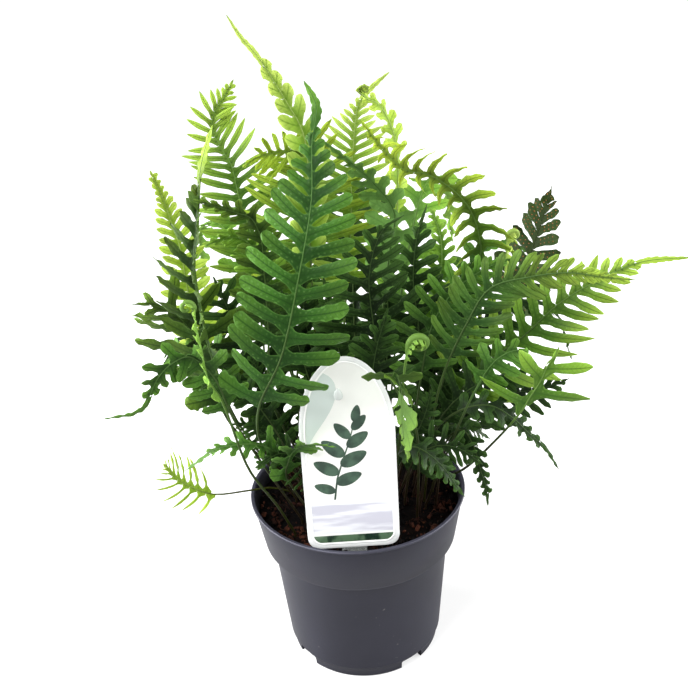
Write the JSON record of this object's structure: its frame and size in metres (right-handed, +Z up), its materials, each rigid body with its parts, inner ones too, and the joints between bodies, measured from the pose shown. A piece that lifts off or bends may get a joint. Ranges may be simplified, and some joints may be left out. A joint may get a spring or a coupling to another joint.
{
  "type": "potted polypody",
  "caption": "Polypody fern with deeply cut arching fronds, rooted in peat in a round nursery pot with an upright plant tag.",
  "frame": {"origin": "middle of the pot's underside, at the height that it rests on", "axes": "+Z up along the pot's axis, -Y towards the side with the plant tag, which the picture looks at"},
  "size_m": [0.315, 0.2265, 0.382],
  "materials": {
    "pot_plastic": "satin, faintly grained moulded plastic",
    "peat": "damp crumbly peat with fibres",
    "tag_plastic": "smooth printed plastic",
    "frond_dark": "leathery leaf with a soft sheen",
    "frond_mid": "leathery leaf with a soft sheen",
    "frond_light": "young leaf with a soft sheen",
    "frond_yellow": "young thin leaf that lets light through"
  },
  "bodies": {
    "root": {"pot": "pot_plastic", "peat": "peat", "plant_tag": "tag_plastic", "frond_front_tall": "frond_mid", "frond_tag_right": "frond_mid", "frond_tag_left": "frond_mid", "frond_right_young": "frond_light", "frond_left_dark": "frond_dark", "frond_right_bright": "frond_light", "frond_right_far": "frond_mid", "frond_right_olive": "frond_light", "frond_back_spire": "frond_yellow", "frond_top_light": "frond_yellow", "frond_top_hook": "frond_light", "frond_left_low": "frond_dark", "frond_left_pale": "frond_yellow", "frond_left_tail": "frond_mid", "crozier_left": "frond_yellow", "frond_right_tail": "frond_dark", "frond_middle_broad": "frond_dark", "frond_middle_right": "frond_dark", "frond_middle_fan": "frond_mid", "crozier_middle": "frond_yellow", "frond_rim_left": "frond_light", "frond_backleft_light": "frond_yellow", "frond_backleft_arch": "frond_dark", "frond_left_olive": "frond_mid", "frond_left_inner": "frond_light", "frond_middle_dark": "frond_dark", "frond_middle_fine": "frond_light", "frond_right_spore": "frond_dark", "crozier_right": "frond_yellow", "frond_right_small": "frond_light", "frond_right_under": "frond_dark", "frond_rim_front": "frond_dark", "frond_rim_right": "frond_dark", "frond_low_right": "frond_dark", "frond_low_left": "frond_dark", "frond_inner_left": "frond_dark", "frond_inner_low_left": "frond_dark", "frond_inner_middle": "frond_dark", "frond_inner_right": "frond_dark", "frond_inner_low_right": "frond_dark", "frond_back_1": "frond_dark", "frond_back_2": "frond_mid", "frond_back_3": "frond_light", "frond_back_4": "frond_dark", "frond_back_5": "frond_mid", "frond_back_6": "frond_light", "frond_back_7": "frond_dark", "frond_back_8": "frond_mid"}
  },
  "joints": []
}
